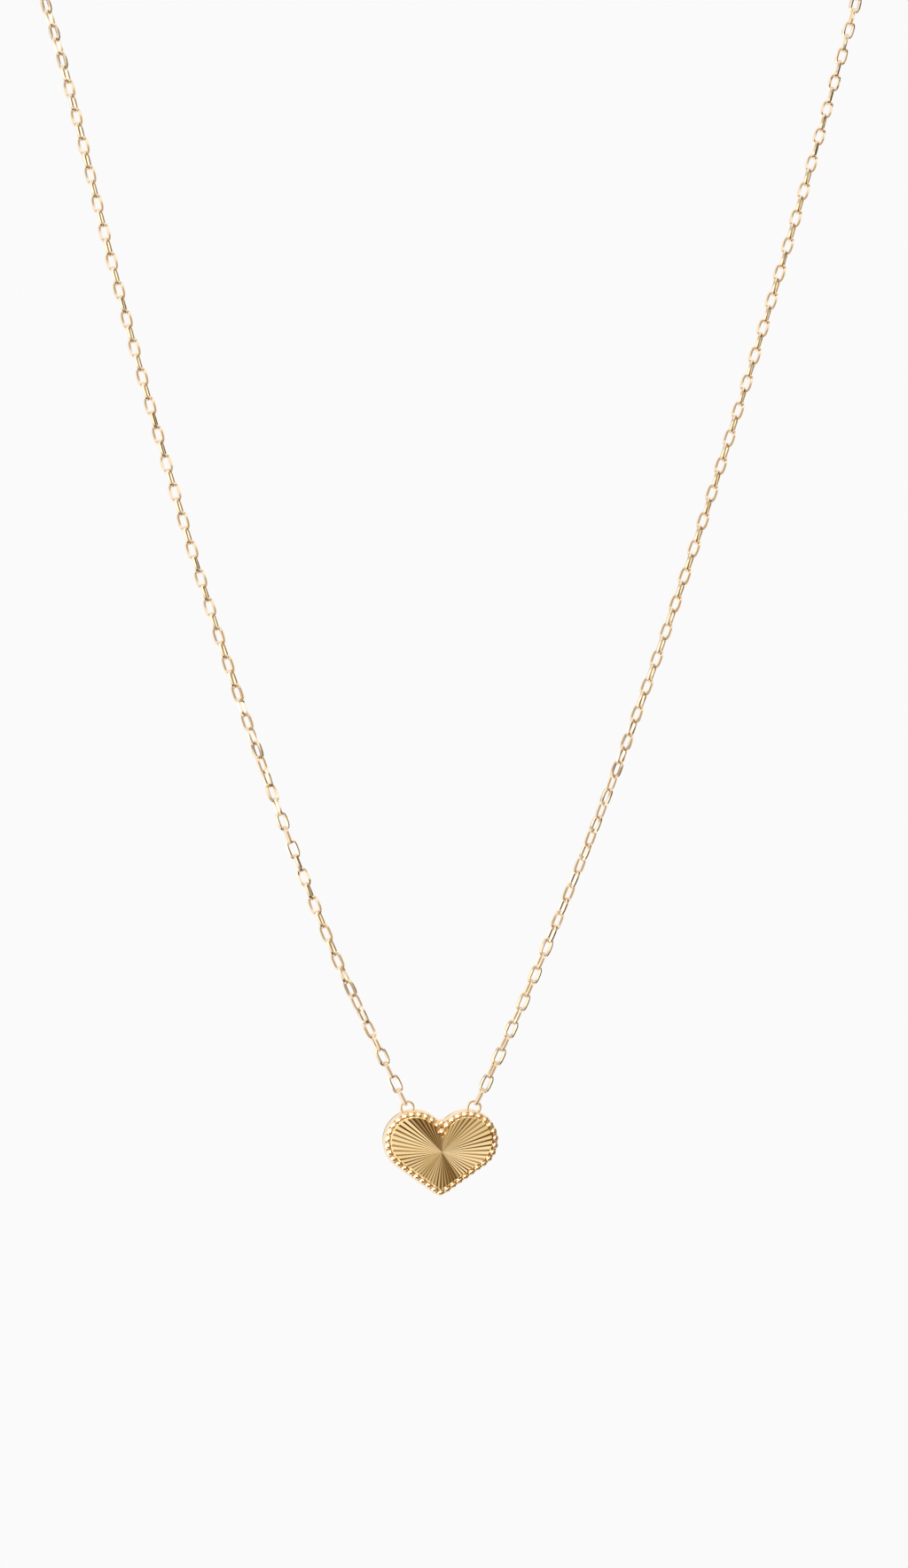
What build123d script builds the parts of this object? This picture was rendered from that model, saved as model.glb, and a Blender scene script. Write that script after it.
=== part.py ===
# A gold heart on a fine chain, in millimetres, hanging as it is worn.
# The origin is at the nape, in the middle of the clasp. Z is up and the heart faces -Y.

import os
from math import atan2, cos, degrees, pi, radians, sin, sqrt, tan

from build123d import *

os.makedirs("parts", exist_ok=True)

# Heart, seen from its front: x to the right, y up, zero where the flutes meet
lobe_radius = 2.10  # of the fluted face
lobe_offset = 2.30  # lobe's centre to the middle line
lobe_height = 0.89  # lobe's centre above the point where the flutes meet
side_angle = 35.3  # lower sides, from level
notch_angle = 34.8  # sides of the notch, from upright
face_tip_radius = 0.15
heart_tip_radius = 0.90
notch_radius = 0.85  # rounds the outer notch between the lobes, at the top of the side wall
heart_thickness = 1.20
border_width = 0.57
border_drop = 0.40  # the border slopes back from the face to the side wall
wall_flare = 0.12  # the side wall widens to the back

# Flutes cut in the face
flute_count = 60
flute_start = 0.15  # from the point where they meet
flute_reach = 5.60  # past the face's furthest corner
flute_slope = 0.030  # depth gained for each millimetre outwards
flute_ridge = 0.08  # share of the pitch that is left flat between two flutes

# Grains of the border
grain_intervals = 21  # from the tip round one lobe to the notch
grain_radius = 0.30
grain_proud = 0.10  # past the top of the side wall
grain_sink = 0.07  # centre below the slope
notch_grain_radius = 0.24
notch_grain_height = 2.50  # above the point where the flutes meet

# Loops soldered behind the lobes
loop_offset = 2.90
loop_rise = 0.79  # top of the loop above the top of the lobe
loop_radius = 0.54
loop_wire = 0.20
loop_set_back = 1.05  # from the face

# Chain
link_length = 1.70
link_width = 0.96
link_wire = 0.20
link_depth = 0.28
link_facet = 0.06
link_pull = 27.0  # the end links lean out from upright
chain_width = 0.95
bearing_gap = 0.07  # between a link and the wire that it bears on
chain_gap = 0.15  # between a strand's end and the piece that it hangs from

# Clasp and the ring that it holds
clasp_radius = 2.20
clasp_wire = 1.00
clasp_loop_radius = 0.55
clasp_loop_wire = 0.35
clasp_solder = 0.10
catch_radius = 1.25
catch_wire = 0.40
catch_gap = 0.10

# The whole loop as it hangs, from the nape
loop_half_width = 46.5
loop_reach = 86.0  # forward to the line through the heart's two loops
loop_drop = 134.7  # down to that line
heart_offset = 2.0  # the heart hangs a little to the left

# The strands' route from the heart up and round the neck: x of the left one and x of the right one
# in shares of the half width, y in shares of the reach, z in shares of the drop
strand_route = [
    (-0.166, 0.080, -0.999, -0.961),
    (-0.241, 0.150, -0.997, -0.907),
    (-0.358, 0.276, -0.991, -0.803),
    (-0.499, 0.435, -0.979, -0.655),
    (-0.638, 0.604, -0.959, -0.479),
    (-0.751, 0.761, -0.933, -0.304),
    (-0.862, 0.875, -0.855, -0.187),
    (-0.963, 0.963, -0.692, -0.109),
    (-1.000, 1.000, -0.477, -0.067),
    (-0.942, 0.942, -0.279, -0.041),
    (-0.753, 0.753, -0.116, -0.019),
    (-0.441, 0.441, -0.014, -0.004),
    (-0.247, 0.247, 0.000, 0.000),
]
route_arc = 0.45  # share of the shorter run that each arc takes


def side_normal():
    return Vector(cos(radians(side_angle - 90)), sin(radians(side_angle - 90)))


def notch_normal():
    return Vector(cos(radians(180 - notch_angle)), sin(radians(180 - notch_angle)))


def draw_heart_half(outset, tip_radius, notch_round):
    # The right half, drawn outset from the edge of the fluted face, with a sharp notch where its round is 0
    centre = Vector(lobe_offset, lobe_height)
    radius = lobe_radius + outset
    side_end = centre + side_normal() * radius
    tip_centre = Vector(0, (tip_radius - radius - centre.dot(side_normal())) / cos(radians(side_angle)))
    if notch_round:
        notch_centre = Vector(0, lobe_height + sqrt((radius + notch_round) ** 2 - lobe_offset**2))
        to_notch = (notch_centre - centre).normalized()
        sweep_angle = degrees(atan2(to_notch.Y, -to_notch.X))
        CenterArc(notch_centre, notch_round, -90, 90 - sweep_angle)
        lobe_start = 180 - sweep_angle
    else:
        vertex = Vector(0, (centre.dot(notch_normal()) + radius) / sin(radians(notch_angle)))
        Line(vertex, centre + notch_normal() * radius)
        lobe_start = 180 - notch_angle
    CenterArc(centre, radius, side_angle - 90, lobe_start - side_angle + 90)
    Line(side_end, tip_centre + side_normal() * tip_radius)
    CenterArc(tip_centre, tip_radius, -90, side_angle)


def bend_radii(points):
    radii = []
    for before, corner, after in zip(points, points[1:], points[2:]):
        arriving = corner - before
        leaving = after - corner
        turn = radians(arriving.get_angle(leaving))
        radii.append(route_arc * min(arriving.length, leaving.length) / tan(turn / 2))
    return radii


# Outlines of the back and of the top of the side wall, which the grains stand proud of
wall_height = heart_thickness - border_drop
wall_outset = border_width - grain_proud
with BuildSketch() as back_outline:
    with BuildLine():
        draw_heart_half(wall_outset + wall_flare, heart_tip_radius + wall_flare, notch_radius - wall_flare)
        mirror(about=Plane.YZ)
    make_face()

with BuildSketch(Plane.XY.offset(wall_height)) as wall_outline:
    with BuildLine():
        draw_heart_half(wall_outset, heart_tip_radius, notch_radius)
        mirror(about=Plane.YZ)
    make_face()

with BuildSketch(Plane.XY.offset(heart_thickness)) as face_outline:
    with BuildLine():
        draw_heart_half(0, face_tip_radius, 0)
        mirror(about=Plane.YZ)
    make_face()

# Line of the grains, along the middle of the border
with BuildLine() as grain_line:
    draw_heart_half(border_width / 2, (face_tip_radius + heart_tip_radius) / 2, 0)

# One flute, a groove that widens and deepens away from its start
flute_half_width = flute_reach * tan(pi / flute_count) * (1 - flute_ridge)
flute_depth = (flute_reach - flute_start) * flute_slope
flute_end_plane = Plane(origin=(flute_reach, 0, heart_thickness), x_dir=(0, 1, 0), z_dir=(1, 0, 0))
with BuildSketch(flute_end_plane) as flute_end:
    with BuildLine():
        Polyline(
            (-flute_half_width, 0),
            (0, -flute_depth),
            (flute_half_width, 0),
            (0, flute_depth),
            close=True,
        )
    make_face()
with BuildPart() as flute:
    loft(sections=[Vertex(flute_start, 0, heart_thickness), flute_end.sketch.face()])

# The heart lying on its back
grain_height = heart_thickness - border_drop / 2 - grain_sink
heart_top = lobe_height + lobe_radius + border_width
loop_height = heart_top + loop_rise - loop_radius - loop_wire / 2
loop_level = heart_thickness - loop_set_back
grain_path = grain_line.wire()
grain_points = [grain_path @ (step / grain_intervals) for step in range(grain_intervals + 1)]
half_grains = [Vector(p.X, p.Y, grain_height) for p in grain_points]
other_grains = [Vector(-p.X, p.Y, p.Z) for p in half_grains if p.X > grain_radius / 2]
with BuildPart() as heart_blank:
    loft(sections=[back_outline.sketch.face(), wall_outline.sketch.face()])
    loft(sections=[wall_outline.sketch.face(), face_outline.sketch.face()])
    with PolarLocations(0, flute_count):
        add(flute.part, mode=Mode.SUBTRACT)
    with Locations(*half_grains, *other_grains):
        Sphere(grain_radius)
    with Locations((0, notch_grain_height, grain_height)):
        Sphere(notch_grain_radius)
    with Locations((-loop_offset, loop_height, loop_level), (loop_offset, loop_height, loop_level)):
        Torus(loop_radius, loop_wire / 2)

# The loops bear on the end links to the outside of their tops, and the heart hangs with its
# centre of mass right under them
bearing_height = loop_height + loop_radius * cos(radians(link_pull))
bearing_offset = loop_offset + loop_radius * sin(radians(link_pull))
heart_centre = heart_blank.part.center(CenterOf.MASS)
hang_tilt = atan2(heart_centre.Z - loop_level, bearing_height - heart_centre.Y)
face_out = Vector(0, -cos(hang_tilt), -sin(hang_tilt))
heart_up = Vector(0, -sin(hang_tilt), cos(hang_tilt))
heart_hang = Vector(-heart_offset, -loop_reach, -loop_drop)
heart_origin = heart_hang - heart_up * bearing_height - face_out * loop_level
heart_plane = Plane(origin=heart_origin, x_dir=(1, 0, 0), z_dir=face_out)
with BuildPart(heart_plane) as pendant_heart:
    add(heart_blank.part)
pendant_heart.part.label = "pendant_heart"
export_step(pendant_heart.part, "parts/pendant_heart.step")
print("hang tilt", round(degrees(hang_tilt), 2), "heart mass centre", heart_centre)

# One link lying flat, its length along x
with BuildPart() as link_blank:
    with BuildSketch():
        SlotOverall(link_length, link_width)
        SlotOverall(link_length - 2 * link_wire, link_width - 2 * link_wire, mode=Mode.SUBTRACT)
    extrude(amount=link_depth / 2, both=True)
    chamfer(link_blank.faces().filter_by(Axis.Z).edges(), length=link_facet)

# The clasp, a plain ring with the loop that the right strand hangs from
clasp_loop_x = clasp_radius + clasp_wire / 2 + clasp_loop_radius + clasp_loop_wire / 2 - clasp_solder
with BuildPart() as clasp:
    Torus(clasp_radius, clasp_wire / 2, rotation=(90, 0, 0))
    with Locations((clasp_loop_x, 0, 0)):
        Torus(clasp_loop_radius, clasp_loop_wire / 2)
clasp.part.label = "clasp"
export_step(clasp.part, "parts/clasp.step")

# The ring at the left strand's end hangs in the clasp
catch_x = -clasp_radius - (catch_radius - catch_wire / 2 - clasp_wire / 2 - catch_gap)
with BuildPart() as catch_ring:
    with Locations((catch_x, 0, 0)):
        Torus(catch_radius, catch_wire / 2)
catch_ring.part.label = "catch_ring"
export_step(catch_ring.part, "parts/catch_ring.step")

# Each strand ends at the nape just short of the ring's or loop's outer edge
nape_ends = {
    "left": Vector(catch_x - catch_radius - catch_wire / 2 - chain_gap, 0, 0),
    "right": Vector(clasp_loop_x + clasp_loop_radius + clasp_loop_wire / 2 + chain_gap, 0, 0),
}

# How far an end link's centre is from the loop's wire, and the strand's start from that centre
link_hold = link_length / 2 - link_wire - loop_wire / 2 - bearing_gap
strand_start = link_length / 2 + chain_gap
for side, hand, column in (("left", -1, 0), ("right", 1, 1)):
    bearing = heart_hang + Vector(hand * bearing_offset, 0, 0)
    pull = Vector(hand * sin(radians(link_pull)), 0, cos(radians(link_pull)))
    link_centre = bearing + pull * link_hold
    link_plane = Plane(origin=link_centre, x_dir=pull, z_dir=pull.cross(Vector(0, 1, 0)))
    with BuildPart(link_plane) as end_link:
        add(link_blank.part)
    end_link.part.label = "end_link_" + side
    export_step(end_link.part, "parts/end_link_" + side + ".step")

    points = [link_centre + pull * strand_start]
    for row in strand_route:
        points.append(Vector(row[column] * loop_half_width, row[2] * loop_reach, row[3] * loop_drop))
    points.append(nape_ends[side])
    radii = bend_radii(points)
    with BuildPart() as chain:
        with BuildLine() as route:
            FilletPolyline(*points, radius=radii)
        with BuildSketch(Plane(origin=points[0], z_dir=pull)):
            Circle(chain_width / 2)
        sweep()
    chain.part.label = "chain_" + side
    export_step(chain.part, "parts/chain_" + side + ".step")

    route_length = route.wire().length
    filled = chain.part.volume / (pi * chain_width**2 / 4 * route_length)
    print("chain", side, "length", round(route_length, 2), "radii", [round(r, 1) for r in radii])
    print("volume over section times length", round(filled, 5))
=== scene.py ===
from math import atan2, copysign, cos, pi, radians, sin, sqrt, tan
from random import Random

import bmesh
import bpy
from mathutils import Matrix, Vector


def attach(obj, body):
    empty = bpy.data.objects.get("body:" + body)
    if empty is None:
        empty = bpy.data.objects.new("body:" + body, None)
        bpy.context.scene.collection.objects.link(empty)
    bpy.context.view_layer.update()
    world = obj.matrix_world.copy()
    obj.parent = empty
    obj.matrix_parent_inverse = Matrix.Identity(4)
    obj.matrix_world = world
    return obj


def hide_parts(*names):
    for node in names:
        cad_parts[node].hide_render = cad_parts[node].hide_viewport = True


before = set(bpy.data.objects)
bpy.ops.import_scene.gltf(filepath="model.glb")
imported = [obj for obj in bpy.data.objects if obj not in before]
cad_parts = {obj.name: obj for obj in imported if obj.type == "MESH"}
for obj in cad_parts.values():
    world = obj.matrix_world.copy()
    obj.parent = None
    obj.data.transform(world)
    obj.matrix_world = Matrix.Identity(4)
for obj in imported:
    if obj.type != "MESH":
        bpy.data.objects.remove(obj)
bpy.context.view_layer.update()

mm = 0.001

# Shared helpers for node trees


class Wire:
    # A socket that Python's own arithmetic works on
    def __init__(self, tree, socket):
        self.tree = tree
        self.socket = socket

    def math(self, operation, *others):
        values = dict(enumerate((self, *others)))
        return addNode(self.tree, "ShaderNodeMath", {"operation": operation}, values).wire()

    def mathAfter(self, operation, first):
        # The same with the other value in front
        values = {0: first, 1: self}
        return addNode(self.tree, "ShaderNodeMath", {"operation": operation}, values).wire()

    def __add__(self, other):
        return self.math("ADD", other)

    def __sub__(self, other):
        return self.math("SUBTRACT", other)

    def __mul__(self, other):
        return self.math("MULTIPLY", other)

    def __truediv__(self, other):
        return self.math("DIVIDE", other)

    def __radd__(self, other):
        return self.mathAfter("ADD", other)

    def __rsub__(self, other):
        return self.mathAfter("SUBTRACT", other)

    def __rmul__(self, other):
        return self.mathAfter("MULTIPLY", other)

    def __rtruediv__(self, other):
        return self.mathAfter("DIVIDE", other)

    def clamp(self):
        return addNode(self.tree, "ShaderNodeClamp", {}, {0: self}).wire()

    def between(self, near, far, soft):
        # One inside the span and none outside it, with soft edges
        return ((self - near) / soft + 0.5).clamp() * ((far - self) / soft + 0.5).clamp()


class MadeNode:
    # A finished node, whose outputs come out as wires
    def __init__(self, tree, node):
        self.tree = tree
        self.node = node

    def wire(self, name=0):
        return Wire(self.tree, self.node.outputs[name])


def addNode(tree, kind, settings, values):
    # Settings go on first, then each socket's value or link
    node = tree.nodes.new(kind)
    for name, value in settings.items():
        if name == "stops":
            ramp = node.color_ramp.elements
            while len(ramp) < len(value):
                ramp.new(1.0)
            for stop, (place, colour) in zip(ramp, value):
                stop.position = place
                stop.color = (*colour, 1.0)
        else:
            setattr(node, name, value)
    for name, value in values.items():
        socket = node.inputs[name]
        if isinstance(value, Wire):
            tree.links.new(value.socket, socket)
        else:
            socket.default_value = value
    return MadeNode(tree, node)


def blend(tree, factor, first, second):
    # From the first colour to the second
    values = {"Factor": factor, 6: first, 7: second}
    return addNode(tree, "ShaderNodeMix", {"data_type": "RGBA"}, values).wire(2)


def clearTree(owner):
    # The node tree of a material or a world, emptied
    owner.use_nodes = True
    owner.node_tree.nodes.clear()
    return owner.node_tree


def newNodeGroup(name, sockets):
    # A Geometry Nodes group with its named inputs and one geometry output
    tree = bpy.data.node_groups.new(name, "GeometryNodeTree")
    tree.interface.new_socket("Geometry", in_out="OUTPUT", socket_type="NodeSocketGeometry")
    for label, kind in sockets.items():
        tree.interface.new_socket(label, in_out="INPUT", socket_type=kind)
    return tree, MadeNode(tree, tree.nodes.new("NodeGroupInput"))


def placeCopies(tree, given, points, copied, rotation):
    # The group's last nodes: a copy on each point, made real, with its material
    source = addNode(tree, "GeometryNodeObjectInfo", {}, {"Object": given.wire(copied)}).wire("Geometry")
    values = {"Points": points, "Instance": source, "Rotation": rotation}
    placed = addNode(tree, "GeometryNodeInstanceOnPoints", {}, values).wire()
    real = addNode(tree, "GeometryNodeRealizeInstances", {}, {"Geometry": placed}).wire()
    values = {"Geometry": real, "Material": given.wire("Material")}
    done = addNode(tree, "GeometryNodeSetMaterial", {}, values).wire()
    addNode(tree, "NodeGroupOutput", {}, {0: done})


def faceAlong(tree, ahead, out):
    # The rotation with x along the line and z as near as it can be to the way out
    alongLine = addNode(tree, "FunctionNodeAlignRotationToVector", {"axis": "X"}, {"Vector": ahead}).wire()
    settings = {"axis": "Z", "pivot_axis": "X"}
    values = {"Rotation": alongLine, "Vector": out}
    return addNode(tree, "FunctionNodeAlignRotationToVector", settings, values).wire()


def runNodes(host, tree, values, name):
    # The modifier's inputs are set by identifier, then its result becomes a plain mesh object
    modifier = host.modifiers.new("build", "NODES")
    modifier.node_group = tree
    for item in tree.interface.items_tree:
        if item.in_out == "INPUT" and item.name in values:
            modifier[item.identifier] = values[item.name]
    graph = bpy.context.evaluated_depsgraph_get()
    graph.update()
    mesh = bpy.data.meshes.new_from_object(host.evaluated_get(graph))
    host.modifiers.remove(modifier)
    bpy.data.objects.remove(host)
    return addObject(name, mesh)


def addObject(name, data):
    thing = bpy.data.objects.new(name, data)
    bpy.context.scene.collection.objects.link(thing)
    return thing


def meshFrom(name, points, faces, edges=()):
    mesh = bpy.data.meshes.new(name)
    mesh.from_pydata([tuple(point) for point in points], list(edges), faces)
    mesh.validate()
    return mesh


def meshOf(shape, name):
    # A bmesh as a mesh of its own
    mesh = bpy.data.meshes.new(name)
    shape.to_mesh(mesh)
    shape.free()
    return mesh


# Golds

goldFinishes = {
    "cutGold": {
        "colour": (0.95, 0.75, 0.44),
        "deep": (0.93, 0.70, 0.37),
        "roughness": 0.09,
        "spread": 0.05,
        "grain": 0.5,
        "bump": 0.05,
    },
    "castGold": {
        "colour": (0.98, 0.82, 0.59),
        "deep": (0.95, 0.72, 0.44),
        "roughness": 0.16,
        "spread": 0.08,
        "grain": 0.7,
        "bump": 0.12,
    },
    # A darker, browner gold: painted shade in the recess between the rim and the grains
    "paintedShadeGold": {
        "colour": (0.74, 0.49, 0.24),
        "deep": (0.62, 0.37, 0.15),
        "roughness": 0.30,
        "spread": 0.10,
        "grain": 0.5,
        "bump": 0.20,
    },
    "chainGold": {
        "colour": (0.98, 0.86, 0.70),
        "deep": (0.96, 0.79, 0.58),
        "roughness": 0.14,
        "spread": 0.08,
        "grain": 0.6,
        "bump": 0.08,
    },
    "claspGold": {
        "colour": (0.96, 0.77, 0.50),
        "deep": (0.92, 0.68, 0.38),
        "roughness": 0.13,
        "spread": 0.07,
        "grain": 0.9,
        "bump": 0.10,
    },
}
# Scales go by the finish's grain, the bump's distance is in millimetres
goldNoise = {
    "cloudScale": 0.35,
    "cloudDetail": 2.0,
    "speckScale": 14.0,
    "speckDetail": 3.0,
    "speckShare": 0.2,
    "deepAt": 0.35,
    "lightAt": 0.62,
    "bumpDistance": 0.004,
}


def makeGold(name):
    finish, noise = goldFinishes[name], goldNoise
    material = bpy.data.materials.new(name)
    tree = clearTree(material)
    place = addNode(tree, "ShaderNodeTexCoord", {}, {}).wire("Object")
    grain = finish["grain"] * mm

    def noiseOf(kind):
        values = {"Vector": place, "Scale": noise[kind + "Scale"] / grain, "Detail": noise[kind + "Detail"]}
        return addNode(tree, "ShaderNodeTexNoise", {}, values).wire("Fac")

    # Soft clouds of tone, worn by handling, about as wide as a link
    cloud = noiseOf("cloud")
    # Fine polishing lines and pits
    speck = noiseOf("speck")
    ramp = {"stops": [(noise["deepAt"], finish["deep"]), (noise["lightAt"], finish["colour"])]}
    mixed = cloud * (1 - noise["speckShare"]) + speck * noise["speckShare"]
    colour = addNode(tree, "ShaderNodeValToRGB", ramp, {"Fac": mixed}).wire("Color")
    roughness = finish["roughness"] + (speck - 0.5) * finish["spread"] + (cloud - 0.5) * finish["spread"]
    values = {"Height": speck, "Strength": finish["bump"], "Distance": noise["bumpDistance"] * mm}
    bump = addNode(tree, "ShaderNodeBump", {}, values).wire()
    values = {"Base Color": colour, "Metallic": 1.0, "Roughness": roughness, "Normal": bump}
    shader = addNode(tree, "ShaderNodeBsdfPrincipled", {}, values)
    addNode(tree, "ShaderNodeOutputMaterial", {}, {"Surface": shader.wire()})
    return material


golds = {name: makeGold(name) for name in goldFinishes}
print("golds ready")

# The heart, first in its own plane: x right, y up, z out of its face, in millimetres and degrees

heartSizes = {
    "lobeRadius": 2.10,
    "lobeOffset": 2.30,
    "lobeHeight": 0.89,
    "sideAngle": 35.3,
    "notchAngle": 34.8,
    "faceTip": 0.15,
    "wallTip": 0.90,
    "notchRadius": 0.85,
    "thickness": 1.20,
    "borderWidth": 0.57,
    "borderDrop": 0.40,
    "wallInset": 0.10,
    "wallFlare": 0.12,
    # Two points of the wall's rounded top edge: outwards and up
    "wallEdge": ((-0.03, 0.01), (0.005, -0.03)),
    "backStraight": 0.34,
    "backBevel": 0.08,
    "rimFall": 2.2,
    "rimDrop": 0.24,
    # Inwards and outwards from the rim
    "rimBevel": (0.07, 0.05),
}
# The ridge, the unevenness and the shift aside are shares of a flute's width
fluteSizes = {
    "count": 60,
    "start": 0.04,
    "slope": 0.0215,
    "aside": 0.104,
    "leftFlutes": (136, 264),
    "ridge": 0.08,
    "unevenness": 0.055,
    "seed": 5,
}
grainSizes = {
    "count": 42,
    "wide": 0.295,
    "long": 0.28,
    "high": 0.17,
    "slope": 34.0,
    "outset": 0.31,
    "level": 0.91,
    "notchRadius": 0.24,
    "notchHeight": 2.50,
    "segments": (20, 12),
    "lineSteps": 720,
}
loopSizes = {"offset": 2.90, "rise": 0.79, "radius": 0.54, "wire": 0.20, "setBack": 1.05}
hanging = {"halfWidth": 46.5, "reach": 86.0, "drop": 134.7, "aside": 2.0, "tilt": 6.336, "pull": 27.0}
# Edges that turn by more than this stay crisp
sharpAngles = {"heartBody": 12, "rounds": 40, "links": 45}
ringSides = {"around": 56, "across": 16}

heartTop = heartSizes["lobeHeight"] + heartSizes["lobeRadius"] + heartSizes["borderWidth"]
loopHeight = heartTop + loopSizes["rise"] - loopSizes["radius"] - loopSizes["wire"] / 2
loopLevel = heartSizes["thickness"] - loopSizes["setBack"]
bearingHeight = loopHeight + loopSizes["radius"] * cos(radians(hanging["pull"]))
bearingOffset = loopSizes["offset"] + loopSizes["radius"] * sin(radians(hanging["pull"]))
heartHang = Vector((-hanging["aside"], -hanging["reach"], -hanging["drop"]))


def heartPlace():
    # From the heart's own plane in millimetres to where it hangs in metres
    tilt = radians(hanging["tilt"])
    faceOut = Vector((0.0, -cos(tilt), -sin(tilt)))
    heartUp = Vector((0.0, -sin(tilt), cos(tilt)))
    origin = heartHang - heartUp * bearingHeight - faceOut * loopLevel
    turned = Matrix((Vector((1.0, 0.0, 0.0)), heartUp, faceOut)).transposed().to_4x4()
    return Matrix.Scale(mm, 4) @ Matrix.Translation(origin) @ turned


def meetCircle(ray, centre, radius, side):
    # How far along the ray a circle is met, on its far side (1) or its near one (-1)
    along = ray.dot(centre)
    return along + side * sqrt(along**2 - centre.dot(centre) + radius**2)


def heartReach(angle, outset, tipRadius, notchRound):
    # From the point where the flutes meet to the outline, along the ray at that angle. The outline
    # is the tip's arc, the side, the lobe's arc and the notch, which is sharp where its round is 0.
    h = heartSizes
    ray = Vector((abs(cos(angle)), sin(angle)))
    lobe = Vector((h["lobeOffset"], h["lobeHeight"]))
    radius = h["lobeRadius"] + outset
    sideTurn, notchTurn = radians(h["sideAngle"] - 90), radians(180 - h["notchAngle"])
    sideOut = Vector((cos(sideTurn), sin(sideTurn)))
    notchOut = Vector((cos(notchTurn), sin(notchTurn)))
    tip = Vector((0.0, (tipRadius - radius - lobe.dot(sideOut)) / cos(radians(h["sideAngle"]))))
    if notchRound:
        notch = Vector((0.0, h["lobeHeight"] + sqrt((radius + notchRound) ** 2 - h["lobeOffset"] ** 2)))
        join = lobe + (notch - lobe).normalized() * radius
    else:
        join = lobe + notchOut * radius

    def rayIsBelow(point):
        return atan2(ray.y, ray.x) < atan2(point.y, point.x)

    if rayIsBelow(tip + sideOut * tipRadius):
        return meetCircle(ray, tip, tipRadius, 1)
    if rayIsBelow(lobe + sideOut * radius):
        return (lobe.dot(sideOut) + radius) / ray.dot(sideOut)
    if rayIsBelow(join):
        return meetCircle(ray, lobe, radius, 1)
    if notchRound:
        return meetCircle(ray, notch, notchRound, -1)
    return (lobe.dot(notchOut) + radius) / ray.dot(notchOut)


def fluteRays():
    # Each flute's rays: the angle, and how deep it is cut there. Its upper side is the steeper,
    # and no two flutes are quite the same.
    f = fluteSizes
    chance = Random(f["seed"])
    pitch = 2 * pi / f["count"]
    rays = []
    for k in range(f["count"]):
        lean, depth = (1 + chance.uniform(-f["unevenness"], f["unevenness"]) for _ in range(2))
        onLeft = f["leftFlutes"][0] < k * 360 / f["count"] < f["leftFlutes"][1]
        edge = (1 - f["ridge"]) / 2
        middle = (-f["aside"] if onLeft else f["aside"]) + (lean - 1) / 2
        shape = [
            (-edge, 0.0),
            ((middle - edge) / 2, depth / 2),
            (middle, depth),
            ((middle + edge) / 2, depth / 2),
            (edge, 0.0),
        ]
        rays += [((k + x) * pitch, cut) for x, cut in shape]
    return rays


def heartBodyMesh():
    # The mesh, and the numbers of facets up to the end of the cut ones and of the recess, which
    # the grains lie in
    h, f = heartSizes, fluteSizes
    rays = fluteRays()
    top, flare = h["thickness"], h["wallFlare"]
    wallOutset = h["borderWidth"] - h["wallInset"]
    wallTop = top - h["borderDrop"]
    bevelIn, bevelOut = h["rimBevel"]
    rings = []
    for angle, cut in rays:
        edge = heartReach(angle, 0.0, h["faceTip"], 0.0)
        wall = heartReach(angle, wallOutset, h["wallTip"], h["notchRadius"])
        back = heartReach(angle, wallOutset + flare, h["wallTip"] + flare, h["notchRadius"] - flare)
        slope = f["slope"] * cut
        # The flute's floor runs out where it meets the rim's steep fall
        end = (h["rimFall"] * edge - slope * f["start"]) / (h["rimFall"] - slope)
        profile = [
            (f["start"], top),
            (end - bevelIn, top - slope * (end - bevelIn - f["start"])),
            (end + bevelOut, top - h["rimFall"] * (end + bevelOut - edge)),
            (edge + h["rimDrop"] / h["rimFall"], top - h["rimDrop"]),
            *((wall + out, wallTop + up) for out, up in h["wallEdge"]),
            (back, h["backStraight"]),
            (back, h["backBevel"]),
            (back - h["backBevel"] / 3, h["backBevel"] / 3),
            (back - h["backBevel"], 0.0),
        ]
        rings.append([Vector((r * cos(angle), r * sin(angle), z)) for r, z in profile])
    count, depth = len(rays), len(rings[0])
    points = [point for ring in rings for point in ring]
    points += [Vector((0.0, 0.0, top)), Vector((0.0, 0.0, 0.0))]
    front, back = len(points) - 2, len(points) - 1
    cutFaces, recessFaces, castFaces = [], [], []
    # From the face outwards: the face, the rim's bevel, its fall, the border's floor, then the wall. The
    # fall and the border's floor take a darker gold that is painted shade.
    bands = 2 * [cutFaces] + 2 * [recessFaces] + (depth - 5) * [castFaces]
    for i in range(count):
        j = (i + 1) % count
        cutFaces.append((front, i * depth, j * depth))
        for k, band in enumerate(bands):
            band.append((i * depth + k, i * depth + k + 1, j * depth + k + 1, j * depth + k))
        castFaces.append((i * depth + depth - 1, back, j * depth + depth - 1))
    mesh = meshFrom("heartBody", points, cutFaces + recessFaces + castFaces)
    return mesh, (len(cutFaces), len(cutFaces) + len(recessFaces))


def addRing(shape, place, radius, wireRadius):
    # A round ring of round wire, lying in the plane that place gives. Its corners stand half a step
    # on, so that none passes the solid's box.
    around, across = ringSides["around"], ringSides["across"]
    rows = []
    for i in range(around):
        turn = 2 * pi * (i + 0.5) / around
        out = Vector((cos(turn), sin(turn), 0.0))
        row = []
        for j in range(across):
            roll = 2 * pi * (j + 0.5) / across
            spot = out * (radius + wireRadius * cos(roll)) + Vector((0.0, 0.0, wireRadius * sin(roll)))
            row.append(shape.verts.new(place @ spot))
        rows.append(row)
    for i in range(around):
        a, b = rows[i], rows[(i + 1) % around]
        for j in range(across):
            k = (j + 1) % across
            shape.faces.new((a[j], b[j], b[k], a[k]))


def finishPiece(piece, sharpAngle, material=None):
    # Rounded where it curves, crisp where it turns
    shape = bmesh.new()
    shape.from_mesh(piece.data)
    bmesh.ops.recalc_face_normals(shape, faces=shape.faces)
    shape.to_mesh(piece.data)
    shape.free()
    piece.data.shade_smooth()
    piece.data.set_sharp_from_angle(angle=radians(sharpAngle))
    if material:
        piece.data.materials.clear()
        piece.data.materials.append(material)


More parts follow.
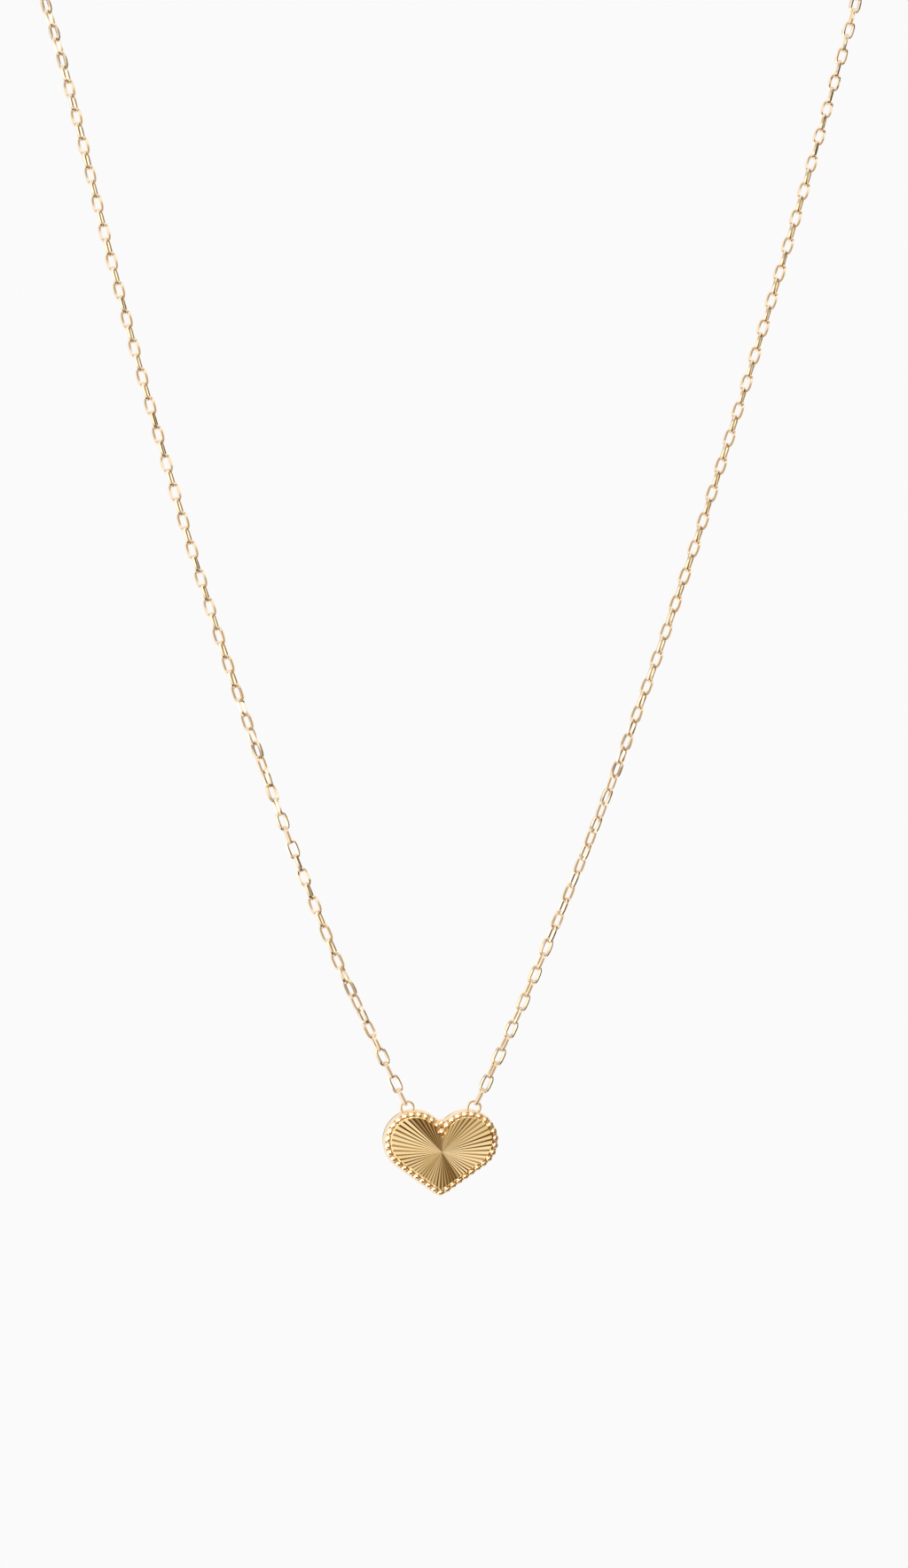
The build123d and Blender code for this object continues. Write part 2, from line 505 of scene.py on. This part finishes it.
def makeHeart():
    place = heartPlace()
    mesh, (cutEnd, recessEnd) = heartBodyMesh()
    body = addObject("heartBody", mesh)
    finishPiece(body, sharpAngles["heartBody"])
    # The rim's fall and the border's floor take the darker gold, which is painted shade in the recess
    for name in ("cutGold", "paintedShadeGold", "castGold"):
        body.data.materials.append(golds[name])
    for facet in body.data.polygons:
        facet.material_index = (facet.index >= cutEnd) + (facet.index >= recessEnd)
    body.data.transform(place)
    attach(body, "pendant")
    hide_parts("pendant_heart")

    shape = bmesh.new()
    for side in (-1, 1):
        loopPlace = Matrix.Translation((side * loopSizes["offset"], loopHeight, loopLevel))
        addRing(shape, loopPlace, loopSizes["radius"], loopSizes["wire"] / 2)
    loops = addObject("heartLoops", meshOf(shape, "heartLoops"))
    finishPiece(loops, sharpAngles["rounds"], golds["castGold"])
    loops.data.transform(place)
    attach(loops, "pendant")
    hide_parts("pendant_heart")


def grainTree():
    # Grains set along a closed line, each with its length across the border
    sockets = {
        "Geometry": "NodeSocketGeometry",
        "Grain": "NodeSocketObject",
        "Count": "NodeSocketInt",
        "Face Out": "NodeSocketVector",
        "Material": "NodeSocketMaterial",
    }
    tree, given = newNodeGroup("setGrains", sockets)
    line = addNode(tree, "GeometryNodeMeshToCurve", {}, {0: given.wire("Geometry")}).wire()
    values = {"Curve": line, "Count": given.wire("Count")}
    spaced = addNode(tree, "GeometryNodeResampleCurve", {"mode": "COUNT"}, values).wire()
    ahead = addNode(tree, "GeometryNodeInputTangent", {}, {}).wire()
    placeCopies(tree, given, spaced, "Grain", faceAlong(tree, ahead, given.wire("Face Out")))
    return tree


def addBead(shape, radius, place):
    across, up = grainSizes["segments"]
    bmesh.ops.create_uvsphere(shape, u_segments=across, v_segments=up, radius=radius, matrix=place)


def grainObject():
    # A bead laid on the border's slope
    g = grainSizes
    shape = bmesh.new()
    addBead(shape, 1.0, Matrix())
    bmesh.ops.scale(shape, verts=shape.verts, vec=Vector((g["wide"], g["long"], g["high"])) * mm)
    lean = Matrix.Rotation(radians(g["slope"]), 3, "X")
    bmesh.ops.rotate(shape, verts=shape.verts, matrix=lean)
    mesh = meshOf(shape, "grain")
    mesh.shade_smooth()
    return addObject("grain", mesh)


def makeGrains():
    h, g = heartSizes, grainSizes
    place = heartPlace()
    tip = (h["faceTip"] + h["wallTip"]) / 2
    steps = g["lineSteps"]
    line = []
    for i in range(steps):
        angle = pi / 2 + 2 * pi * i / steps
        reach = heartReach(angle, g["outset"], tip, 0.0)
        line.append(place @ Vector((reach * cos(angle), reach * sin(angle), g["level"])))
    edges = [(i, (i + 1) % steps) for i in range(steps)]
    host = addObject("grainLine", meshFrom("grainLine", line, [], edges))
    grain = grainObject()
    faceOut = (place.to_3x3() @ Vector((0.0, 0.0, 1.0))).normalized()
    values = {"Grain": grain, "Count": g["count"], "Face Out": faceOut, "Material": golds["castGold"]}
    grains = runNodes(host, grainTree(), values, "heartGrains")
    bpy.data.objects.remove(grain)
    # The small grain down in the notch
    shape = bmesh.new()
    shape.from_mesh(grains.data)
    addBead(shape, g["notchRadius"], place @ Matrix.Translation((0.0, g["notchHeight"], g["level"])))
    shape.to_mesh(grains.data)
    shape.free()
    finishPiece(grains, sharpAngles["rounds"], golds["castGold"])
    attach(grains, "pendant")
    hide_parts("pendant_heart")


# The camera stands to the left of the heart and a little above it, and looks slightly up, as in
# the photograph. Lengths in millimetres, places in the photograph's pixels.

cameraView = {
    "turn": 10.0,
    "lookUp": 1.5,
    "distance": 600.0,
    "pixelSize": 0.07576,
    "imageMiddle": (512.0, 884.5),
    "flutesMeetAt": (498.4, 1299.8),
    "longSide": 1769.0,
    "sensor": 36.0,
    "clip": (50.0, 50000.0),
}


def makeCamera():
    v = cameraView
    turn, up = radians(v["turn"]), radians(v["lookUp"])
    forward = Vector((sin(turn) * cos(up), cos(turn) * cos(up), sin(up)))
    right = Vector((cos(turn), -sin(turn), 0.0))
    upward = right.cross(forward)
    across = (v["flutesMeetAt"][0] - v["imageMiddle"][0]) * v["pixelSize"]
    down = (v["flutesMeetAt"][1] - v["imageMiddle"][1]) * v["pixelSize"]
    seen = heartPlace() @ Vector((0.0, 0.0, heartSizes["thickness"]))
    data = bpy.data.cameras.new("camera")
    data.sensor_width = v["sensor"]
    data.lens = v["sensor"] * v["distance"] / (v["longSide"] * v["pixelSize"])
    data.clip_start, data.clip_end = (distance * mm for distance in v["clip"])
    camera = addObject("camera", data)
    camera.location = seen + (upward * down - right * across - forward * v["distance"]) * mm
    camera.rotation_mode = "QUATERNION"
    camera.rotation_quaternion = forward.to_track_quat("-Z", "Y")
    bpy.context.scene.camera = camera


makeCamera()

# Studio: light in rings round the line that the heart's face mirrors, in a white tent, and a pale
# floor. Each place in it has a reach, in degrees from that line, and a clock angle round it, from
# the right (0) by the top (90).

backdropTone = 0.956
tentTone = (1.0, 0.965, 0.92)
mirrorLine = {"azimuth": 10.2, "elevation": -11.0}
# One ring of light for each side of the flutes, with how bright it is at each clock angle
lightRings = {
    "gentleSides": {
        "reach": (33, 48),
        "soft": 2,
        "levels": [
            (0, 0.15), (24, 0.10), (31, 1.0), (70, 1.10), (92, 0.98), (112, 0.86), (128, 0.76),
            (144, 0.60), (154, 0.56), (162, 0.72), (176, 0.66), (186, 0.30), (192, 0.12),
            (222, 0.10), (360, 0.15),
        ],
    },
    "steepSides": {
        "reach": (50, 72),
        "soft": 5,
        "levels": [
            (0, 0.42), (24, 0.38), (38, 0.20), (60, 0.50), (150, 0.66), (176, 0.92), (192, 0.46),
            (206, 0.26), (226, 0.16), (234, 0.07), (247, 0.07), (254, 0.30), (270, 0.42),
            (280, 0.30), (286, 0.10), (296, 0.09), (303, 0.26), (312, 0.34), (320, 0.13),
            (334, 0.14), (344, 0.20), (355, 0.20), (360, 0.42),
        ],
    },
}
# The colour of that light from none to full
ringTints = [
    (0.0, (0.0, 0.0, 0.0)),
    (0.12, (0.155, 0.085, 0.03)),
    (0.5, (0.56, 0.49, 0.36)),
    (0.85, (0.90, 0.85, 0.74)),
    (1.0, (1.07, 1.02, 0.95)),
]
studioCards = {
    "front": {"clock": (0, 360), "reach": (-10, 32), "soft": 3, "tone": (0.50, 0.42, 0.33)},
    "rightFlag": {"clock": (318, 402), "reach": (72, 104), "soft": 6, "tone": (0.12, 0.09, 0.05)},
    "leftTent": {"clock": (128, 215), "reach": (72, 100), "soft": 5, "tone": (1.15, 1.10, 1.04)},
    "behind": {"clock": (0, 360), "reach": (168, 200), "soft": 8, "tone": (0.42, 0.32, 0.20)},
}
# Soft boxes, how wide each looks in degrees, how bright it is and which pieces it lights
softBoxes = {
    "overGrains": {
        "clock": 145,
        "reach": 34,
        "wide": 58,
        "bright": 4.8,
        "pieces": ("heartGrains",),
    },
    "leftOfGrains": {
        "clock": 205,
        "reach": 80,
        "wide": 50,
        "bright": 1.8,
        "pieces": ("heartGrains",),
    },
    "leftOfChain": {
        "clock": 175,
        "reach": 60,
        "wide": 70,
        "bright": 0.6,
        "pieces": ("chainLinksLeft", "chainLinksRight", "endLinkLeft", "endLinkRight", "heartLoops"),
    },
}
softBoxDistance = 1.5
softBoxTint = (1.0, 0.97, 0.92)


def mirrorAxes():
    azimuth, elevation = radians(mirrorLine["azimuth"]), radians(mirrorLine["elevation"])
    line = Vector((sin(azimuth) * cos(elevation), -cos(azimuth) * cos(elevation), sin(elevation)))
    right = Vector((cos(azimuth), sin(azimuth), 0.0))
    return line, right, line.cross(right)


def makeStudio():
    world = bpy.data.worlds.new("studio")
    bpy.context.scene.world = world
    tree = clearTree(world)
    way = addNode(tree, "ShaderNodeTexCoord", {}, {}).wire("Generated")

    def shareAlong(axis):
        settings = {"operation": "DOT_PRODUCT"}
        return addNode(tree, "ShaderNodeVectorMath", settings, {0: way, 1: axis}).wire("Value")

    line, right, upward = mirrorAxes()
    reach = shareAlong(line).math("ARCCOSINE")
    clock = shareAlong(upward).math("ARCTAN2", shareAlong(right))
    turn = (clock / (2 * pi)).math("FRACT")
    tone = (*tentTone, 1.0)
    for ring in lightRings.values():
        near, far = ring["reach"]
        within = reach.between(radians(near), radians(far), radians(ring["soft"]))
        bright = [(place / 360, (level, level, level)) for place, level in ring["levels"]]
        level = addNode(tree, "ShaderNodeValToRGB", {"stops": bright}, {"Fac": turn}).wire("Color")
        tinted = addNode(tree, "ShaderNodeValToRGB", {"stops": ringTints}, {"Fac": level}).wire("Color")
        tone = blend(tree, within, tone, tinted)
    for card in studioCards.values():
        (first, last), (near, far), soft = card["clock"], card["reach"], radians(card["soft"])
        within = reach.between(radians(near), radians(far), soft)
        if last - first < 360:
            aside = (clock - radians((first + last) / 2)).math("WRAP", pi, -pi).math("ABSOLUTE")
            within = within * ((radians((last - first) / 2) - aside) / soft + 0.5).clamp()
        tone = blend(tree, within, tone, (*card["tone"], 1.0))
    seen = addNode(tree, "ShaderNodeLightPath", {}, {}).wire("Is Camera Ray")
    tone = blend(tree, seen, tone, (backdropTone, backdropTone, backdropTone, 1.0))
    light = addNode(tree, "ShaderNodeBackground", {}, {"Color": tone})
    addNode(tree, "ShaderNodeOutputWorld", {}, {"Surface": light.wire()})


def makeSoftBoxes():
    line, right, upward = mirrorAxes()
    for name, box in softBoxes.items():
        lit = bpy.data.collections.new(name)
        for piece in box["pieces"]:
            lit.objects.link(bpy.data.objects[piece])
        clock, reach = radians(box["clock"]), radians(box["reach"])
        aside = right * cos(clock) + upward * sin(clock)
        way = line * cos(reach) + aside * sin(reach)
        data = bpy.data.lights.new(name, "AREA")
        data.shape = "DISK"
        data.size = 2 * softBoxDistance * tan(radians(box["wide"] / 2))
        # A disk's power for that brightness
        data.energy = box["bright"] * pi * pi * (data.size / 2) ** 2
        data.color = softBoxTint
        lamp = addObject(name, data)
        lamp.location = heartHang * mm + way * softBoxDistance
        lamp.rotation_mode = "QUATERNION"
        lamp.rotation_quaternion = way.to_track_quat("Z", "Y")
        lamp.light_linking.receiver_collection = lit


# In metres. The floor fades out to its edge.
floorSizes = {"height": -0.34, "reach": 1.4, "fadeFrom": 0.5, "fadeTo": 1.3, "sides": 96}
floorTone = (0.93, 0.93, 0.92)


def makeFloor():
    f = floorSizes
    turns = [2 * pi * i / f["sides"] for i in range(f["sides"])]
    rim = [(f["reach"] * cos(turn), f["reach"] * sin(turn), f["height"]) for turn in turns]
    floor = addObject("floor", meshFrom("floor", rim, [list(range(f["sides"]))]))
    material = bpy.data.materials.new("paleFloor")
    tree = clearTree(material)
    place = addNode(tree, "ShaderNodeTexCoord", {}, {}).wire("Object")
    away = addNode(tree, "ShaderNodeVectorMath", {"operation": "LENGTH"}, {0: place}).wire("Value")
    faded = ((away - f["fadeFrom"]) / (f["fadeTo"] - f["fadeFrom"])).clamp()
    paint = addNode(tree, "ShaderNodeBsdfDiffuse", {}, {"Color": (*floorTone, 1.0)})
    clear = addNode(tree, "ShaderNodeBsdfTransparent", {}, {})
    mixed = addNode(tree, "ShaderNodeMixShader", {}, {0: faded, 1: paint.wire(), 2: clear.wire()})
    addNode(tree, "ShaderNodeOutputMaterial", {}, {"Surface": mixed.wire()})
    floor.data.materials.append(material)
    floor.visible_glossy = False


makeStudio()
makeFloor()
bpy.context.scene.view_settings.view_transform = "Standard"
print("studio ready")


makeHeart()
makeGrains()
print("heart ready")

# Chain: flat oval links, every second one turned a quarter, along each strand's route

linkSizes = {
    "length": 1.70,
    "width": 1.01,
    "wire": 0.20,
    "depth": 0.33,
    "flat": 0.16,
    "stoutSides": 0.3,
    "sides": 16,
    "fullness": 3.0,
    "pitch": 1.284,
    "bearingGap": 0.07,
    "strandGap": 0.15,
    # From the last link to the ring that it would bear on
    "ringGap": 0.05,
    # Degrees that a link may be turned out of its place, and how fast that comes in from the ends
    "loose": 4.0,
    "heldEnds": 40.0,
}

# The strands' route, the same points as their solids: x of the left one and x of the right one
# in shares of the half width, y in shares of the reach, z in shares of the drop
strandRoute = [
    (-0.166, 0.080, -0.999, -0.961),
    (-0.241, 0.150, -0.997, -0.907),
    (-0.358, 0.276, -0.991, -0.803),
    (-0.499, 0.435, -0.979, -0.655),
    (-0.638, 0.604, -0.959, -0.479),
    (-0.751, 0.761, -0.933, -0.304),
    (-0.862, 0.875, -0.855, -0.187),
    (-0.963, 0.963, -0.692, -0.109),
    (-1.000, 1.000, -0.477, -0.067),
    (-0.942, 0.942, -0.279, -0.041),
    (-0.753, 0.753, -0.116, -0.019),
    (-0.441, 0.441, -0.014, -0.004),
    (-0.247, 0.247, 0.000, 0.000),
]
routeResolution = 24
# Turns: how far the links turn from face on, in degrees, at shares of the strand's way from the heart
strands = {
    "left": {
        "hand": -1,
        "column": 0,
        "links": 171,
        "seed": 3,
        "turns": [
            (0.0, -4.0), (0.012, 2.0), (0.024, 24.0), (0.036, 41.0), (0.05, 58.0), (0.07, 69.0),
            (0.09, 81.0), (0.11, 100.0), (0.136, 134.0), (0.16, 153.0), (0.18, 161.0),
            (0.3, 172.0), (0.6, 176.0), (1.0, 180.0),
        ],
    },
    "right": {
        "hand": 1,
        "column": 1,
        "links": 173,
        "seed": 8,
        "turns": [
            (0.0, 4.0), (0.04, 8.0), (0.08, 18.0), (0.11, 30.0), (0.15, 45.0), (0.18, 52.0),
            (0.45, 50.0), (0.8, 20.0), (1.0, 0.0),
        ],
    },
}
claspSizes = {
    "radius": 2.20,
    "wire": 1.00,
    "loopRadius": 0.55,
    "loopWire": 0.35,
    "solder": 0.10,
    "catchRadius": 1.25,
    "catchWire": 0.40,
    "catchGap": 0.10,
}
claspEdge = claspSizes["radius"] + claspSizes["wire"] / 2
claspLoopX = claspEdge + claspSizes["loopRadius"] + claspSizes["loopWire"] / 2 - claspSizes["solder"]
catchReach = claspSizes["catchRadius"] - claspSizes["catchWire"] / 2 - claspSizes["wire"] / 2
catchX = -claspSizes["radius"] - (catchReach - claspSizes["catchGap"])


def linkMesh():
    # A link lying flat, its length along x: an oval with full ends, of wire with a ridge at the
    # front and back that is stouter inwards along the sides
    s = linkSizes
    half, deep, flat = s["wire"] / 2, s["depth"] / 2, s["flat"] / 2
    long, wide = s["length"] / 2 - half, s["width"] / 2 - half
    around = s["sides"]
    line = []
    for i in range(around):
        turn = 2 * pi * (i + 0.5) / around
        x, y = (copysign(abs(share) ** (2 / s["fullness"]), share) for share in (cos(turn), sin(turn)))
        line.append(Vector((long * x, wide * y, 0.0)))
    section = [(half, flat), (0.0, deep), (-half, flat), (-half, -flat), (0.0, -deep), (half, -flat)]
    points = []
    for i in range(around):
        ahead = (line[(i + 1) % around] - line[i - 1]).normalized()
        out = Vector((ahead.y, -ahead.x, 0.0))
        stout = s["stoutSides"] * ahead.x**2
        for across, up in section:
            outset = across * (1 + stout) - half * stout
            points.append((line[i] + out * outset + Vector((0.0, 0.0, up))) * mm)
    sides = len(section)
    faces = []
    for i in range(around):
        a, b = i * sides, ((i + 1) % around) * sides
        for j in range(sides):
            k = (j + 1) % sides
            faces.append((a + j, b + j, b + k, a + k))
    return meshFrom("link", points, faces)


def linkTree():
    # Links in a row along a line, each second one a quarter turn round
    sockets = {
        "Geometry": "NodeSocketGeometry",
        "Link": "NodeSocketObject",
        "Links": "NodeSocketInt",
        "First At": "NodeSocketFloat",
        "Last Before End": "NodeSocketFloat",
        "Hand": "NodeSocketFloat",
        "Loose": "NodeSocketFloat",
        "Seed": "NodeSocketInt",
        "Material": "NodeSocketMaterial",
    }
    tree, given = newNodeGroup("linkStrand", sockets)
    line = addNode(tree, "GeometryNodeMeshToCurve", {}, {0: given.wire("Geometry")}).wire()
    length = addNode(tree, "GeometryNodeCurveLength", {}, {"Curve": line}).wire()
    values = {0: line, 4: given.wire("First At"), 5: length - given.wire("Last Before End")}
    trimmed = addNode(tree, "GeometryNodeTrimCurve", {"mode": "LENGTH"}, values).wire()
    values = {"Curve": trimmed, "Count": given.wire("Links")}
    spaced = addNode(tree, "GeometryNodeResampleCurve", {"mode": "COUNT"}, values).wire()
    ahead = addNode(tree, "GeometryNodeInputTangent", {}, {}).wire()
    values = {0: ahead, 1: (0.0, 0.0, 1.0)}
    aside = addNode(tree, "ShaderNodeVectorMath", {"operation": "CROSS_PRODUCT"}, values).wire()
    values = {0: aside, "Scale": given.wire("Hand")}
    outward = addNode(tree, "ShaderNodeVectorMath", {"operation": "SCALE"}, values).wire()
    faced = faceAlong(tree, ahead, outward)
    index = addNode(tree, "GeometryNodeInputIndex", {}, {}).wire()
    quarter = index.math("MODULO", 2.0) * (pi / 2)
    share = addNode(tree, "GeometryNodeSplineParameter", {}, {}).wire("Factor")
    slowTurn = addNode(tree, "ShaderNodeFloatCurve", {"label": "slow turn"}, {"Value": share}).wire()
    values = {2: -1.0, 3: 1.0, "ID": index, "Seed": given.wire("Seed")}
    jolt = addNode(tree, "FunctionNodeRandomValue", {"data_type": "FLOAT"}, values).wire(1)
    endsHeld = (share * (1 - share) * linkSizes["heldEnds"]).clamp()
    angle = quarter + (slowTurn - 0.5) * (2 * pi) + jolt * given.wire("Loose") * endsHeld
    values = {"Axis": (1.0, 0.0, 0.0), "Angle": angle}
    roll = addNode(tree, "FunctionNodeAxisAngleToRotation", {}, values).wire()
    settings = {"rotation_space": "LOCAL"}
    turned = addNode(tree, "FunctionNodeRotateRotation", settings, {0: faced, 1: roll}).wire()
    placeCopies(tree, given, spaced, "Link", turned)
    return tree


def setSlowTurn(tree, turns):
    # The curve runs from 0 to 1 for minus to plus half a turn
    line = [(share, 0.5 + angle / 360) for share, angle in turns]
    node = next(node for node in tree.nodes if node.label == "slow turn")
    curve = node.mapping.curves[0]
    while len(curve.points) < len(line):
        curve.points.new(1.0, 0.5)
    while len(curve.points) > len(line):
        curve.points.remove(curve.points[-1])
    for point, spot in zip(curve.points, line):
        point.location = spot
        point.handle_type = "AUTO_CLAMPED"
    node.mapping.update()


def strandPoints(strand):
    # The route's points, the end link's centre and lean, and how far the last link is from the end
    s, c = linkSizes, claspSizes
    hand, pullAngle = strand["hand"], radians(hanging["pull"])
    pull = Vector((hand * sin(pullAngle), 0.0, cos(pullAngle)))
    hold = s["length"] / 2 - s["wire"] - loopSizes["wire"] / 2 - s["bearingGap"]
    linkCentre = heartHang + Vector((hand * bearingOffset, 0.0, 0.0)) + pull * hold
    points = [linkCentre + pull * (s["length"] / 2 + s["strandGap"])]
    for row in strandRoute:
        x, y, z = row[strand["column"]], row[2], row[3]
        points.append(Vector((x * hanging["halfWidth"], y * hanging["reach"], z * hanging["drop"])))
    if hand < 0:
        ringEdge, ringWire = catchX - c["catchRadius"], c["catchWire"]
    else:
        ringEdge, ringWire = claspLoopX + c["loopRadius"], c["loopWire"]
    lastX = ringEdge + hand * (ringWire / 2 + s["strandGap"])
    holdX = ringEdge - hand * ringWire / 2
    points.append(Vector((lastX, 0.0, 0.0)))
    lastLinkX = holdX + hand * (s["length"] / 2 - s["wire"] - s["ringGap"])
    return points, linkCentre, pull, abs(lastX - lastLinkX)


def routeMesh(name, points):
    # The smooth line through the strand's way, as a run of edges
    data = bpy.data.curves.new(name, "CURVE")
    data.dimensions = "3D"
    spline = data.splines.new("NURBS")
    spline.points.add(len(points) - 1)
    for point, spot in zip(spline.points, points):
        point.co = (*(spot * mm), 1.0)
    spline.order_u = 3
    spline.use_endpoint_u = True
    spline.resolution_u = routeResolution
    curve = addObject(name, data)
    graph = bpy.context.evaluated_depsgraph_get()
    graph.update()
    mesh = bpy.data.meshes.new_from_object(curve.evaluated_get(graph))
    bpy.data.objects.remove(curve)
    return mesh


def makeStrand(side, tree, link):
    s, strand = linkSizes, strands[side]
    points, linkCentre, pull, beforeEnd = strandPoints(strand)
    host = addObject("route", routeMesh("route", points))
    setSlowTurn(tree, strand["turns"])
    values = {
        "Link": link,
        "Links": strand["links"],
        "First At": (s["pitch"] - s["length"] / 2 - s["strandGap"]) * mm,
        "Last Before End": beforeEnd * mm,
        "Hand": float(strand["hand"]),
        "Loose": radians(s["loose"]),
        "Seed": strand["seed"],
        "Material": golds["chainGold"],
    }
    chain = runNodes(host, tree, values, "chainLinks" + side.capitalize())
    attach(chain, "necklace")
    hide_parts("chain_" + side)

    # The link that holds the heart's loop, edge on from the front
    sideways = Vector((0.0, 1.0, 0.0))
    turned = Matrix((pull, sideways, pull.cross(sideways))).transposed().to_4x4()
    endLink = addObject("endLink" + side.capitalize(), linkMesh())
    finishPiece(endLink, sharpAngles["links"], golds["chainGold"])
    endLink.data.transform(Matrix.Translation(linkCentre * mm) @ turned)
    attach(endLink, "necklace")
    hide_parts("end_link_" + side)


def makeChain():
    link = addObject("link", linkMesh())
    finishPiece(link, sharpAngles["links"])
    tree = linkTree()
    for side in strands:
        makeStrand(side, tree, link)
    bpy.data.objects.remove(link)


makeChain()
print("chain ready")

# The clasp's ring and its loop, and the catch ring through it


def makeRings(name, rings, node):
    shape = bmesh.new()
    for place, radius, wire in rings:
        addRing(shape, place, radius * mm, wire / 2 * mm)
    piece = addObject(name, meshOf(shape, name))
    finishPiece(piece, sharpAngles["rounds"], golds["claspGold"])
    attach(piece, "necklace")
    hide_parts(node)


def makeClasp():
    c = claspSizes
    upright = Matrix.Rotation(pi / 2, 4, "X")
    loopPlace = Matrix.Translation((claspLoopX * mm, 0.0, 0.0))
    catchPlace = Matrix.Translation((catchX * mm, 0.0, 0.0))
    claspRings = [(upright, c["radius"], c["wire"]), (loopPlace, c["loopRadius"], c["loopWire"])]
    makeRings("claspRing", claspRings, "clasp")
    makeRings("catchRing", [(catchPlace, c["catchRadius"], c["catchWire"])], "catch_ring")


makeClasp()
print("clasp ready")

makeSoftBoxes()
